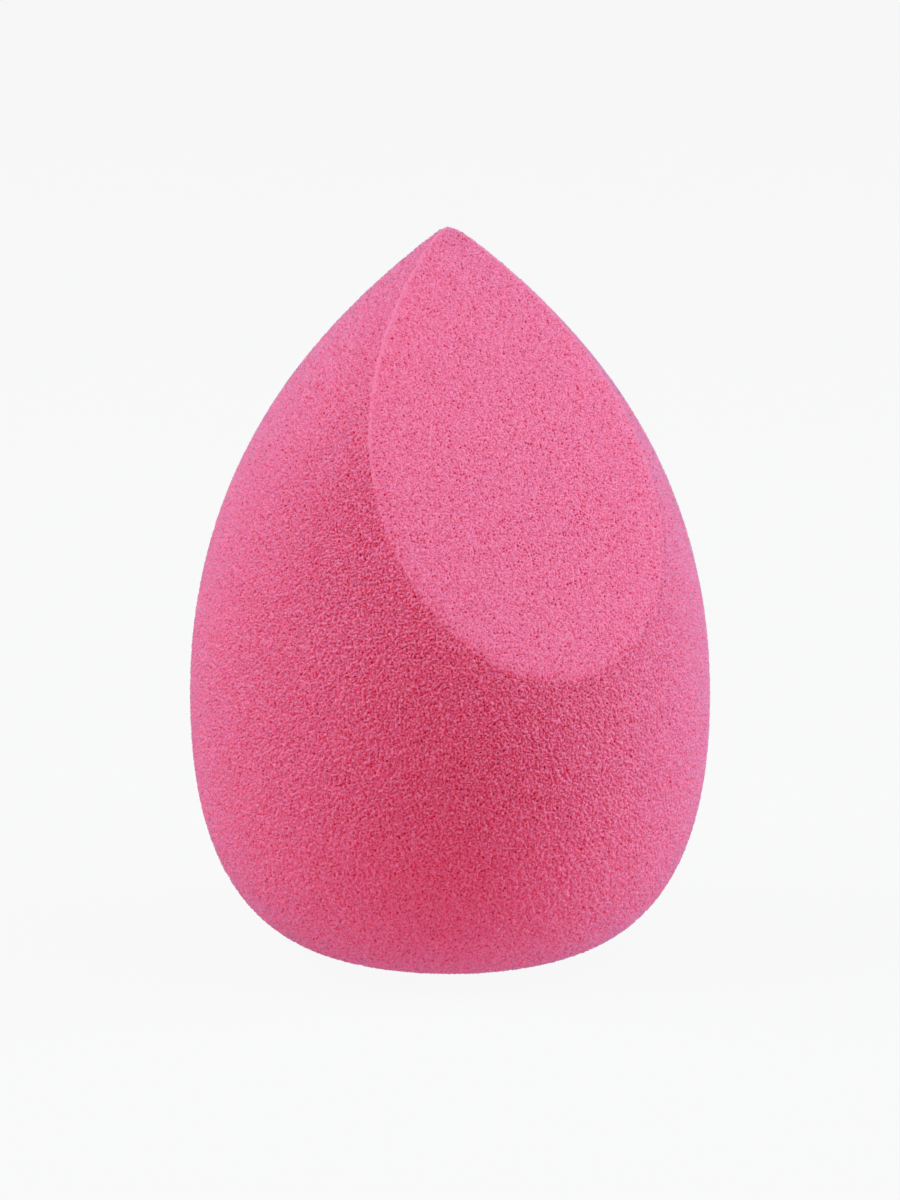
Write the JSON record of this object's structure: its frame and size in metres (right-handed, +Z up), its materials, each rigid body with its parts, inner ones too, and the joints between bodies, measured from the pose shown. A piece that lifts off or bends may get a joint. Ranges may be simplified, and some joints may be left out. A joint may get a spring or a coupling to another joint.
{
  "type": "makeup sponge",
  "caption": "Teardrop makeup sponge of soft pink open-cell foam, pointed at the top and flat at the foot, with a slanted flat face for dabbing and blending make-up.",
  "frame": {"origin": "middle of the flat foot, on the surface that the sponge stands on", "axes": "+Z up along the teardrop's axis towards the tip; the slanted face looks towards -Y and up"},
  "size_m": [0.0426, 0.0426, 0.06],
  "materials": {
    "pink_foam": "matte"
  },
  "bodies": {
    "root": {"foam_body": "pink_foam"}
  },
  "joints": []
}
